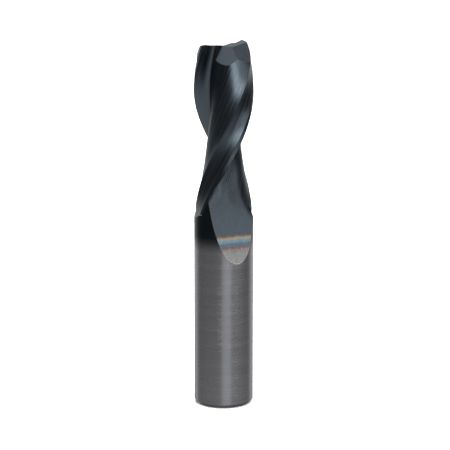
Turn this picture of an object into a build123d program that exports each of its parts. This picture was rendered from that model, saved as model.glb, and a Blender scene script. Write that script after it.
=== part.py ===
from build123d import *
import os
from math import cos, degrees, radians, sin, sqrt, tan

# Two-flute, right-hand, square solid-carbide end mill, standing on its shank end.
# Frame: +Z runs from the shank end (z = 0) to the end teeth, the axis is X = Y = 0.

# ---- driving dimensions (mm, degrees) ----
diameter = 12.0
overall_length = 74.0
flute_length = 34.2
helix_angle = 30.0
tooth_count = 2
first_tooth_heading = 53.0
rear_chamfer = 0.75

# ---- peripheral grinds ----
back_taper = 0.01
land_angle = 8.4
land_back_radius = 0.4926 * diameter
heel_radius = 0.460 * diameter
heel_angle = 45.7
relief_runout_slope = 0.50
relief_runout_length = 1.9

# ---- flute grind and its run-out into the shank ----
rake_angle = 7.0
helix_stop = 41.5
runout_tip = 30.0
lift_start = 51.0
runout_heading = -62.0
flute_depth = 0.28 * diameter
wheel_radius = 5.6 * diameter
# place along the flute outline, height where its flat ends, height where its helix begins
blend_stations = [(0, 34.0, 41.0), (4, 38.0, 47.0), (8, 43.0, 54.0), (10, 43.0, 54.0), (13, 40.0, 44.0)]

# ---- end teeth ----
dish_angle = 6.0
end_relief = 8.0
end_land_width = 0.16 * diameter
end_clearance_angle = 45.0
gash_angle = 53.1
gash_heading = 157.2
gash_setback = 0.08

# ---- sizes worked out from the above ----
radius = diameter / 2
twist_per_mm = degrees(2 * tan(radians(helix_angle)) / diameter)
relief_end = overall_length - flute_length
over_travel = 0.12 * diameter
outside = 0.75 * diameter
relief_clearance = [(0.34, 0.60), (0.75, 0.34), (0.75, -0.14)]


def tooth_heading(z):
    """Heading of the first tooth's cutting edge at height z."""
    return first_tooth_heading - twist_per_mm * (overall_length - z)


def in_tooth_frame(point, heading):
    """Turn (inward-outward, backward) into X, Y for a tooth whose edge points at heading."""
    out, back = point
    a = radians(heading)
    return (out * cos(a) + back * sin(a), out * sin(a) - back * cos(a))


def smooth_step(value, low, high):
    """Ease from 0 at low to 1 at high."""
    t = min(1.0, max(0.0, (value - low) / (high - low)))
    return t * t * (3 - 2 * t)


def flute_outline():
    """Flute seen along the axis, in the frame of the tooth whose back it borders: from beyond
    the heel over the back, round the gullet and out along the rake face of the next tooth."""
    lean = tan(radians(rake_angle))
    back = [(0.60, 0.285), (0.45, 0.320), (0.325, 0.333), (0.142, 0.350), (0.029, 0.333)]
    back += [(-0.070, 0.289), (-0.147, 0.207), (-0.201, 0.100), (-0.215, 0.035)]
    gullet = [(-0.2326, -0.0104), (-0.282, -0.0268)]
    rake = [(x, -(x + 0.5) * lean) for x in (-0.39, -0.50, -0.62)]
    return [(x * diameter, y * diameter) for x, y in back + gullet + rake]


def runout_level(z):
    """Distance of the flat run-out from the tool axis: the grinding wheel lifts along its rim."""
    travel = min(z, lift_start) - lift_start
    return radius - flute_depth + wheel_radius - sqrt(wheel_radius ** 2 - travel ** 2)


def helical_share(index, z):
    """How far one point of the flute outline has gone from the flat (0) to the helix (1)."""
    for (start, low_a, high_a), (end, low_b, high_b) in zip(blend_stations, blend_stations[1:]):
        if start <= index <= end:
            part = (index - start) / (end - start)
            return smooth_step(z, low_a + (low_b - low_a) * part, high_a + (high_b - high_a) * part)


def flute_section(z):
    """The flute at height z: helical above, easing into a straight flat that lifts to the shank
    surface. The gullet fills in over a longer stretch than the edges of the flute."""
    facing = tooth_heading(helix_stop) + 180 - runout_heading
    turn = runout_heading + twist_per_mm * max(z - helix_stop, 0)
    section = []
    for index, point in enumerate(flute_outline()):
        share = helical_share(index, z)
        helical = Vector(*in_tooth_frame(point, tooth_heading(z) + 180))
        level, across = in_tooth_frame(point, facing)
        flat = Vector(runout_level(z), across).rotate(Axis.Z, runout_heading)
        section.append(helical * share + flat * (1 - share))
    outward = Vector(diameter, 0).rotate(Axis.Z, turn)
    section += [section[-1] + outward, section[0] + outward]
    return [(point.X, point.Y) for point in section]


def relief_section(z, lift):
    """Outside of the two relief flats behind one cutting edge, raised by lift."""
    land = radians(land_angle)
    edge = Vector(radius, 0)
    land_back = Vector(land_back_radius * cos(land), land_back_radius * sin(land))
    heel = radians(heel_angle)
    heel_point = Vector(heel_radius * cos(heel), heel_radius * sin(heel))
    before_edge = edge + (edge - land_back).normalized() * over_travel
    past_heel = heel_point + (heel_point - land_back).normalized() * over_travel
    inner = [before_edge, land_back, heel_point, past_heel]
    outer = [Vector(x, y) * diameter for x, y in relief_clearance]
    rise = Vector(cos(heel / 2), sin(heel / 2)) * lift
    points = [point + rise for point in inner + outer]
    return [in_tooth_frame((p.X, p.Y), tooth_heading(z)) for p in points]


# Ground blank: a true cylinder to clamp, then a fluted length that tapers back from the tip
with BuildPart() as blank:
    with BuildSketch(Plane.XZ):
        with BuildLine():
            Polyline(
                (0, 0),
                (radius - rear_chamfer, 0),
                (radius, rear_chamfer),
                (radius, runout_tip),
                (radius - back_taper, runout_tip),
                (radius, overall_length),
                (0, overall_length),
                close=True,
            )
        make_face()
    revolve(axis=Axis.Z)

# Flute cut: helical down to the run-out, then a straight flat lifting to the shank surface
section_step = 0.95
runout_heights = [runout_tip - 0.8 + section_step * step for step in range(27)]
helical_heights = [runout_heights[-1] + 2 * section_step * step for step in range(1, 12)]
with BuildPart() as flute_cut:
    for height in runout_heights + helical_heights:
        outline = flute_section(height)
        with BuildSketch(Plane.XY.offset(height)):
            with BuildLine():
                Spline(*outline[:-2])
                Polyline(outline[-3], outline[-2], outline[-1], outline[0])
            make_face()
    loft()

# Peripheral relief along one tooth, with a short ramp where the wheel leaves the tool
relief_heights = [relief_end + 2 * section_step * step for step in range(19)]
ramp_depths = [relief_runout_length * step / 3 for step in range(4)]
with BuildPart() as relief_cut:
    for height in relief_heights:
        with BuildSketch(Plane.XY.offset(height)):
            with BuildLine():
                Polyline(*relief_section(height, 0), close=True)
            make_face()
    loft()
with BuildPart() as relief_ramp:
    for depth in ramp_depths:
        with BuildSketch(Plane.XY.offset(relief_end - depth)):
            with BuildLine():
                Polyline(*relief_section(relief_end - depth, depth * relief_runout_slope), close=True)
            make_face()
    loft(ruled=True)

# End relief: a narrow land and a steep clearance behind the end cutting edge
edge_heading = radians(first_tooth_heading)
edge_direction = Vector(cos(edge_heading), sin(edge_heading), tan(radians(dish_angle))).normalized()
backward = Vector(sin(edge_heading), -cos(edge_heading), 0)
corner = Vector(radius * cos(edge_heading), radius * sin(edge_heading), overall_length)
end_plane = Plane(origin=corner, x_dir=backward, z_dir=-edge_direction)
clear_drop = end_land_width * tan(radians(end_relief))
far_back = 0.8 * diameter
past_axis = 1.3 * diameter
far_drop = clear_drop + (far_back - end_land_width) * tan(radians(end_clearance_angle))
with BuildPart() as end_cut:
    with BuildSketch(end_plane):
        with BuildLine():
            Polyline(
                (0, 0),
                (end_land_width, -clear_drop),
                (far_back, -far_drop),
                (far_back, outside),
                (0, outside),
                close=True,
            )
        make_face()
    extrude(amount=past_axis)

# Gash: sloping cut from the centre into the flute, ending on the centre plane of the teeth
slope_heading = radians(first_tooth_heading - gash_heading)
slope = radians(gash_angle)
gash_normal = Vector(cos(slope_heading) * sin(slope), sin(slope_heading) * sin(slope), cos(slope))
gash_plane = Plane(origin=(0, 0, overall_length - gash_setback), z_dir=gash_normal)
tooth_plane = Plane(origin=(0, 0, 0), z_dir=backward)
gash_size = 3 * diameter
with BuildPart() as gash_cut:
    with BuildSketch(gash_plane):
        Rectangle(gash_size, gash_size)
    extrude(amount=diameter)
    split(bisect_by=tooth_plane, keep=Keep.TOP)

# The whole ground tool, before it is divided into its cutting and clamping parts
with BuildPart() as ground_tool:
    add(blank.part)
    with PolarLocations(0, tooth_count):
        add(flute_cut.part, mode=Mode.SUBTRACT)
    with PolarLocations(0, tooth_count):
        add(relief_cut.part, mode=Mode.SUBTRACT)
    with PolarLocations(0, tooth_count):
        add(relief_ramp.part, mode=Mode.SUBTRACT)
    with PolarLocations(0, tooth_count):
        add(end_cut.part, mode=Mode.SUBTRACT)
    with PolarLocations(0, tooth_count):
        add(gash_cut.part, mode=Mode.SUBTRACT)

ramp_end = relief_end - relief_runout_length

with BuildPart() as shank:
    add(ground_tool.part)
    split(bisect_by=Plane.XY.offset(runout_tip), keep=Keep.BOTTOM)

with BuildPart() as flute_runout:
    add(ground_tool.part)
    split(bisect_by=Plane.XY.offset(runout_tip), keep=Keep.TOP)
    split(bisect_by=Plane.XY.offset(ramp_end), keep=Keep.BOTTOM)

with BuildPart() as cutting_end:
    add(ground_tool.part)
    split(bisect_by=Plane.XY.offset(ramp_end), keep=Keep.TOP)

# ---- write the parts ----
os.makedirs("parts", exist_ok=True)
shank.part.label = "shank"
flute_runout.part.label = "flute_runout"
cutting_end.part.label = "cutting_end"
export_step(shank.part, "parts/shank.step")
export_step(flute_runout.part, "parts/flute_runout.step")
export_step(cutting_end.part, "parts/cutting_end.step")
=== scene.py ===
import math

import bpy
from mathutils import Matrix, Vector


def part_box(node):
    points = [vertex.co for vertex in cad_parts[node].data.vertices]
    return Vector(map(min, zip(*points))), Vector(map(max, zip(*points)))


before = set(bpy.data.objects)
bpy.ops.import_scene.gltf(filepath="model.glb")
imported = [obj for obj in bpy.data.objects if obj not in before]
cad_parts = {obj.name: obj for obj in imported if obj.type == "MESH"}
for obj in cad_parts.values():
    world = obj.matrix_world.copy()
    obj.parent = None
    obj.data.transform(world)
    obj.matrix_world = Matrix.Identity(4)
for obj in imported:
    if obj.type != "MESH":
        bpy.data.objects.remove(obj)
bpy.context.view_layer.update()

# ---- sizes taken from the frame (metres) ----
shank_low, shank_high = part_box("shank")
radius = (shank_high[0] - shank_low[0]) / 2
diameter = 2 * radius
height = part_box("cutting_end")[1][2]

# ---- facts about the tool that the finishes need (metres, radians per metre) ----
helix_twist = 2 * math.tan(math.radians(30.0)) / diameter
helix_stop = 3.46 * diameter
coat_top = 3.02 * diameter
coat_bottom = 2.66 * diameter

# ---- bare carbide ----
BARE = (0.445, 0.442, 0.465, 1.0)
BARE_DARK = (0.425, 0.420, 0.446, 1.0)
BARE_LIGHT = (0.465, 0.464, 0.484, 1.0)
# painted shade: a dark colour on the chamfered foot, standing in for the tool's own shadow on the floor
# beneath
CHAMFER_SHADE_COLOUR = (0.10, 0.10, 0.10, 1.0)
CHAMFER_SHADE_SHARE = 0.75
# heights between which the painted shade on the chamfered foot, standing in for the tool's own shadow on the
# floor, gives way to the shank
CHAMFER_SHADE_FULL, CHAMFER_SHADE_NONE = 0.00060, 0.00085
MARK_COLOUR = (0.62, 0.62, 0.63, 1.0)
MARK_STRENGTH = 0.55
MARK_SOFT_EDGE = 0.0002
TICK_NONE, TICK_FULL = 0.48, 0.60
# the mark is whole nearer the front than the first and gone behind the second, in radii along Y
MARK_FRONT, MARK_BACK = -0.3, -0.1
# left and right in radii, low and high in diameters
MARK_COLUMNS = ((-0.24, -0.02, 1.00, 2.20), (0.30, 0.50, 1.55, 2.15), (0.30, 0.50, 0.20, 0.92))

# ---- coated carbide ----
FILM_DARK = (0.041, 0.051, 0.061, 1.0)
FILM_LIGHT = (0.060, 0.074, 0.086, 1.0)
FILM_ON_WALL = (0.027, 0.036, 0.041, 1.0)
FILM_START, FILM_WHOLE = 0.84, 0.93
WALL_START, WALL_WHOLE = -0.10, 0.84
EDGE_WAVER = 0.0005
# how far under the shank radius the finish of the outside wall starts, and is whole
WALL_SKIN_NONE, WALL_SKIN_FULL = 0.00003, 0.000015
# share of the way from bare carbide to whole film, and the colour there
OXIDE_COLOURS = (
    (0.00, (0.160, 0.160, 0.156)),
    (0.20, (0.150, 0.131, 0.120)),
    (0.32, (0.102, 0.076, 0.083)),
    (0.46, (0.062, 0.097, 0.128)),
    (0.60, (0.102, 0.162, 0.176)),
    (0.73, (0.185, 0.172, 0.138)),
    (0.81, (0.158, 0.080, 0.061)),
    (0.86, (0.056, 0.064, 0.078)),
)

# ---- grinding marks: noise scales per metre, and how glossy and deep the marks are ----
FINE_RINGS, BROAD_RINGS, FINE_RING_SHARE = (60.0, 60.0, 9000.0), (40.0, 40.0, 900.0), 0.6
FINE_STREAKS, BROAD_STREAKS, FINE_STREAK_SHARE = (4800.0, 4800.0, 60.0), (1300.0, 1300.0, 30.0), 0.65
TONE_SCALE = (260.0, 260.0, 60.0)
TICK_SCALE = (900.0, 900.0, 3200.0)
WAVER_SCALE = (300.0, 300.0, 0.0)
NOISE_LOW, NOISE_HIGH = 0.3, 0.7
RUNOUT_LEAN = 0.45
FLUTE_ROUGHNESS, FLUTE_SPREAD = 0.34, 0.11
WALL_ROUGHNESS, WALL_SPREAD = 0.27, 0.03
RING_STRENGTH, RING_DEPTH = 0.13, 0.000008
STREAK_STRENGTH, STREAK_DEPTH = 0.8, 0.000010
WALL_DEPTH_SHARE = 0.13
# the streaks are shallower in the run-out, easing in from this far below to this far above helix_stop
RUNOUT_DEPTH_SHARE, RUNOUT_BELOW, RUNOUT_ABOVE = 0.5, 0.004, 0.006


# ---- small helpers for node trees ----
class Nodes:
    """Adds nodes to one material or world and wires them in a line or two each."""

    def __init__(self, tree):
        self.tree = tree

    def add(self, kind, **settings):
        node = self.tree.nodes.new(kind)
        for name, value in settings.items():
            setattr(node, name, value)
        return node

    def join(self, source, target):
        self.tree.links.new(source, target)

    def feed(self, value, socket):
        if isinstance(value, bpy.types.NodeSocket):
            self.join(value, socket)
        else:
            socket.default_value = value

    def maths(self, operation, first, second=0.0, third=0.0):
        node = self.add("ShaderNodeMath", operation=operation)
        for value, socket in zip((first, second, third), node.inputs):
            self.feed(value, socket)
        return node.outputs[0]

    def between(self, share, first, second):
        """A number that is first where share is 0 and second where it is 1."""
        return self.maths("MULTIPLY_ADD", share, second - first, first)

    def ramp(self, value, low, high, out_low=0.0, out_high=1.0, smooth=True):
        node = self.add("ShaderNodeMapRange")
        if smooth:
            node.interpolation_type = "SMOOTHSTEP"
        for number, socket in zip((value, low, high, out_low, out_high), node.inputs):
            self.feed(number, socket)
        return node.outputs[0]

    def inside(self, value, low, high, soft):
        """1 between low and high, easing to 0 over soft at each end."""
        rise = self.ramp(value, low, low + soft)
        fall = self.ramp(value, high - soft, high, 1.0, 0.0)
        return self.maths("MULTIPLY", rise, fall)

    def blend(self, share, first, second):
        node = self.add("ShaderNodeMix", data_type="RGBA")
        self.feed(share, node.inputs[0])
        self.feed(first, node.inputs[6])
        self.feed(second, node.inputs[7])
        return node.outputs[2]

    def colours(self, value, stops):
        node = self.add("ShaderNodeValToRGB")
        band = node.color_ramp
        band.interpolation = "EASE"
        while len(band.elements) < len(stops):
            band.elements.new(1.0)
        for element, (place, colour) in zip(band.elements, stops):
            element.position = place
            element.color = (*colour, 1.0)
        self.feed(value, node.inputs[0])
        return node.outputs[0]

    def scaled(self, vector, scale):
        node = self.add("ShaderNodeVectorMath", operation="MULTIPLY")
        self.feed(vector, node.inputs[0])
        node.inputs[1].default_value = scale
        return node.outputs[0]

    def noise(self, place, scale, detail=2.0, roughness=0.5):
        node = self.add("ShaderNodeTexNoise")
        self.feed(self.scaled(place, scale), node.inputs["Vector"])
        for name, value in (("Scale", 1.0), ("Detail", detail), ("Roughness", roughness)):
            node.inputs[name].default_value = value
        return node.outputs[0]

    def bump(self, level, strength, distance):
        node = self.add("ShaderNodeBump")
        node.inputs["Strength"].default_value = strength
        node.inputs["Distance"].default_value = distance
        self.join(level, node.inputs["Height"])
        return node.outputs[0]

    def axes(self, place):
        """The X, Y and Z of a place."""
        node = self.add("ShaderNodeSeparateXYZ")
        self.join(place, node.inputs[0])
        return node.outputs[0], node.outputs[1], node.outputs[2]


def new_material(name):
    material = bpy.data.materials.new(name)
    material.use_nodes = True
    nodes = Nodes(material.node_tree)
    shader = material.node_tree.nodes["Principled BSDF"]
    place = nodes.add("ShaderNodeTexCoord").outputs["Object"]
    return material, nodes, shader, place


def grinding_marks(nodes, place, fine_scale, broad_scale, fine_share):
    """Fine and broad noise, both stretched along the direction of grinding, in the given shares."""
    fine = nodes.noise(place, fine_scale, 3.0, 0.6)
    broad = nodes.noise(place, broad_scale)
    fine_part = nodes.maths("MULTIPLY", fine, fine_share)
    return nodes.maths("ADD", fine_part, nodes.maths("MULTIPLY", broad, 1.0 - fine_share))


def ground_rings(nodes, place):
    """Fine lines round the shank, left by the grinding wheel."""
    return grinding_marks(nodes, place, FINE_RINGS, BROAD_RINGS, FINE_RING_SHARE)


def helical_streaks(nodes, place, level):
    """Grinding lines that run with the helix, and lean the same way where the flutes run out."""
    turning = nodes.maths("MULTIPLY", nodes.maths("MAXIMUM", level, helix_stop), -helix_twist)
    lean = -RUNOUT_LEAN * helix_twist
    leaning = nodes.maths("MULTIPLY", nodes.maths("MINIMUM", level, helix_stop), lean)
    spin = nodes.add("ShaderNodeVectorRotate", rotation_type="Z_AXIS")
    nodes.join(place, spin.inputs["Vector"])
    nodes.join(nodes.maths("ADD", turning, leaning), spin.inputs["Angle"])
    return grinding_marks(nodes, spin.outputs[0], FINE_STREAKS, BROAD_STREAKS, FINE_STREAK_SHARE)


# ---- bare carbide, centreless ground ----
def marking(nodes, place, across, depth, level):
    """A faint etched patch of random ticks in three short columns, where such tools carry a mark."""
    ticks = nodes.ramp(nodes.noise(place, TICK_SCALE, 1.0), TICK_NONE, TICK_FULL)
    total = 0.0
    for left, right, low, high in MARK_COLUMNS:
        columns = nodes.inside(across, left * radius, right * radius, MARK_SOFT_EDGE)
        rows = nodes.inside(level, low * diameter, high * diameter, MARK_SOFT_EDGE)
        total = nodes.maths("ADD", nodes.maths("MULTIPLY", columns, rows), total)
    front = nodes.ramp(depth, MARK_FRONT * radius, MARK_BACK * radius, MARK_STRENGTH, 0.0)
    return nodes.maths("MULTIPLY", nodes.maths("MULTIPLY", total, ticks), front)


def bare_carbide():
    material, nodes, shader, place = new_material("bare_carbide")
    across, depth, level = nodes.axes(place)
    rings = ground_rings(nodes, place)
    tone = nodes.noise(place, TONE_SCALE, 3.0, 0.55)
    colour = nodes.blend(tone, BARE_DARK, BARE_LIGHT)
    colour = nodes.blend(marking(nodes, place, across, depth, level), colour, MARK_COLOUR)
    # painted shade: the chamfered foot is darkened towards the floor, standing in for the tool's own shadow
    # there
    chamfer_shade = nodes.ramp(level, CHAMFER_SHADE_FULL, CHAMFER_SHADE_NONE, CHAMFER_SHADE_SHARE, 0.0)
    nodes.join(nodes.blend(chamfer_shade, colour, CHAMFER_SHADE_COLOUR), shader.inputs["Base Color"])
    shader.inputs["Metallic"].default_value = 1.0
    smoothest, roughest = WALL_ROUGHNESS - WALL_SPREAD, WALL_ROUGHNESS + WALL_SPREAD
    nodes.join(nodes.ramp(rings, NOISE_LOW, NOISE_HIGH, smoothest, roughest), shader.inputs["Roughness"])
    nodes.join(nodes.bump(rings, RING_STRENGTH, RING_DEPTH), shader.inputs["Normal"])
    return material


# ---- coated carbide: blue-black film over flute grinding, fading out near the shank ----
def coated_carbide():
    material, nodes, shader, place = new_material("coated_carbide")
    level = nodes.axes(place)[2]
    streaks = helical_streaks(nodes, place, level)

    # the edge of the coating wavers a little; below it the colours of a thin film show
    waver = nodes.maths("SUBTRACT", nodes.maths("ADD", nodes.noise(place, WAVER_SCALE), streaks), 1.0)
    edge = nodes.maths("MULTIPLY_ADD", waver, EDGE_WAVER, level)
    share = nodes.ramp(edge, coat_bottom, coat_top, smooth=False)
    film = nodes.blend(nodes.ramp(streaks, NOISE_LOW, NOISE_HIGH), FILM_DARK, FILM_LIGHT)
    oxide = nodes.colours(share, OXIDE_COLOURS)
    ground = nodes.blend(nodes.ramp(share, FILM_START, FILM_WHOLE), oxide, film)

    # the outside wall under the flutes is still the round surface of the shank
    wall = nodes.blend(nodes.ramp(share, WALL_START, WALL_WHOLE), BARE, FILM_ON_WALL)
    length = nodes.add("ShaderNodeVectorMath", operation="LENGTH")
    nodes.join(nodes.scaled(place, (1.0, 1.0, 0.0)), length.inputs[0])
    on_wall = nodes.ramp(length.outputs["Value"], radius - WALL_SKIN_NONE, radius - WALL_SKIN_FULL)
    nodes.join(nodes.blend(on_wall, ground, wall), shader.inputs["Base Color"])

    shader.inputs["Metallic"].default_value = 1.0
    change = nodes.maths("SUBTRACT", ground_rings(nodes, place), streaks)
    surface = nodes.maths("MULTIPLY_ADD", on_wall, change, streaks)
    middle = nodes.between(on_wall, FLUTE_ROUGHNESS, WALL_ROUGHNESS)
    spread = nodes.between(on_wall, FLUTE_SPREAD, WALL_SPREAD)
    swing = nodes.ramp(surface, NOISE_LOW, NOISE_HIGH, -1.0, 1.0)
    nodes.join(nodes.maths("MULTIPLY_ADD", swing, spread, middle), shader.inputs["Roughness"])

    wall_share = nodes.between(on_wall, 1.0, WALL_DEPTH_SHARE)
    runout_low, runout_high = helix_stop - RUNOUT_BELOW, helix_stop + RUNOUT_ABOVE
    runout_share = nodes.ramp(level, runout_low, runout_high, RUNOUT_DEPTH_SHARE, 1.0)
    relief = nodes.maths("MULTIPLY", surface, nodes.maths("MULTIPLY", wall_share, runout_share))
    nodes.join(nodes.bump(relief, STREAK_STRENGTH, STREAK_DEPTH), shader.inputs["Normal"])
    return material


# ---- camera: a long lens from a little above the tool ----
def add_camera():
    data = bpy.data.cameras.new("camera")
    data.lens = 153.4
    data.sensor_width = 36.0
    data.shift_x = 0.0029
    data.shift_y = -0.0053
    data.clip_start = 0.01
    data.clip_end = 50.0
    camera = bpy.data.objects.new("camera", data)
    bpy.context.collection.objects.link(camera)
    distance, above_floor, looking_down = 31.66 * diameter, 9.678 * diameter, 11.7
    camera.location = (0.0, -distance, above_floor)
    camera.rotation_euler = (math.radians(90.0 - looking_down), 0.0, 0.0)
    bpy.context.scene.camera = camera


# ---- floor and light ----
def add_floor():
    bpy.ops.mesh.primitive_plane_add(size=12.0, location=(0.0, 0.0, 0.0))
    floor = bpy.context.object
    floor.name = "floor"
    material, _, shader, _ = new_material("pale_floor")
    shader.inputs["Base Color"].default_value = (0.95, 0.95, 0.95, 1.0)
    shader.inputs["Roughness"].default_value = 0.9
    shader.inputs["Specular IOR Level"].default_value = 0.1
    floor.data.materials.append(material)
    floor.visible_glossy = False


def add_area_light(name, heading, pitch, distance, size, energy, in_reflections=True, colour=(1.0, 1.0, 1.0)):
    """A soft box aimed at the middle of the tool from the given heading and height above level."""
    data = bpy.data.lights.new(name, "AREA")
    data.shape = "RECTANGLE"
    data.size, data.size_y = size
    data.energy = energy
    data.color = colour
    light = bpy.data.objects.new(name, data)
    bpy.context.collection.objects.link(light)
    flat = distance * math.cos(math.radians(pitch))
    offset = Vector((flat * math.cos(math.radians(heading)), flat * math.sin(math.radians(heading)), 0.0))
    offset.z = distance * math.sin(math.radians(pitch))
    light.location = Vector((0.0, 0.0, height / 2)) + offset
    light.rotation_euler = (-offset).to_track_quat("-Z", "Y").to_euler()
    light.visible_glossy = in_reflections


def add_lights():
    """Soft boxes in front for the broad glosses, two rim lights and one large overhead light."""
    add_area_light(
        "front_strip", heading=-79.0, pitch=-12.0, distance=0.60, size=(0.36, 0.34), energy=0.098,
        colour=(0.93, 1.0, 1.04),
    )
    add_area_light("key_box", heading=-68.0, pitch=17.0, distance=0.60, size=(0.30, 0.22), energy=1.75)
    add_area_light("side_box", heading=-33.0, pitch=12.0, distance=0.60, size=(0.32, 0.28), energy=0.60)
    add_area_light("left_rim", heading=157.0, pitch=26.0, distance=0.70, size=(0.20, 0.24), energy=1.1)
    add_area_light("right_rim", heading=18.0, pitch=20.0, distance=0.70, size=(0.16, 0.16), energy=0.22)
    add_area_light(
        "top", heading=-30.0, pitch=80.0, distance=1.2, size=(1.2, 1.2), energy=25.0, in_reflections=False
    )


def add_world():
    """A pale tent round a dim level: brighter overhead, below and behind, dark behind the foot."""
    world = bpy.data.worlds.new("studio")
    bpy.context.scene.world = world
    world.use_nodes = True
    nodes = Nodes(world.node_tree)
    background = world.node_tree.nodes["Background"]
    _, backward, upward = nodes.axes(nodes.add("ShaderNodeTexCoord").outputs["Generated"])
    above = nodes.ramp(upward, low=0.50, high=0.92, out_low=0.14, out_high=1.85)
    below = nodes.ramp(upward, low=-0.66, high=-0.30, out_low=1.15, out_high=0.0)
    behind = nodes.ramp(backward, low=0.30, high=0.95, out_low=0.0, out_high=0.60)
    total = nodes.maths("ADD", nodes.maths("ADD", above, below), behind)
    back_and_down = nodes.maths("SUBTRACT", backward, upward)
    own_shade = nodes.ramp(back_and_down, low=1.02, high=1.24, out_low=1.0, out_high=0.12)
    nodes.join(nodes.maths("MULTIPLY", total, own_shade), background.inputs["Strength"])
    background.inputs["Color"].default_value = (1.0, 1.0, 1.0, 1.0)


bare = bare_carbide()
coated = coated_carbide()
for name, finish in (("shank", bare), ("flute_runout", coated), ("cutting_end", coated)):
    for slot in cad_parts[name].material_slots:
        slot.material = finish

bpy.context.scene.view_settings.view_transform = "Standard"
add_camera()
add_floor()
add_world()
add_lights()
